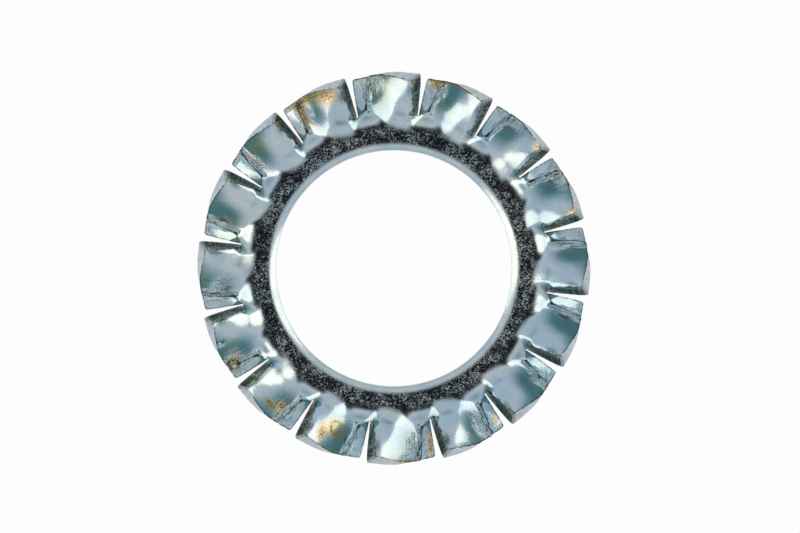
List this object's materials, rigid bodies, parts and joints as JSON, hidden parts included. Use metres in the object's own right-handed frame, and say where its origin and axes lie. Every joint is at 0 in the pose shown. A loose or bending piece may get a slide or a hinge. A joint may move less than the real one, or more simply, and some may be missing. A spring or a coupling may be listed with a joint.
{
  "type": "toothed lock washer",
  "caption": "Flat ring stamped from sheet steel, with twisted teeth all round its outer edge that bite into a bolt head or nut and the part under it.",
  "frame": {"origin": "on the washer's axis, in the plane that its lowest tooth edges touch", "axes": "+Z along the axis, out of the face whose bore edge is rounded; +X along the centre line of one tooth"},
  "size_m": [0.0178, 0.0178, 0.0023],
  "materials": {
    "zinc_plated_steel": "bright zinc plate with a pale blue passivate, lightly mottled"
  },
  "bodies": {
    "root": {"washer": "zinc_plated_steel"}
  },
  "joints": []
}
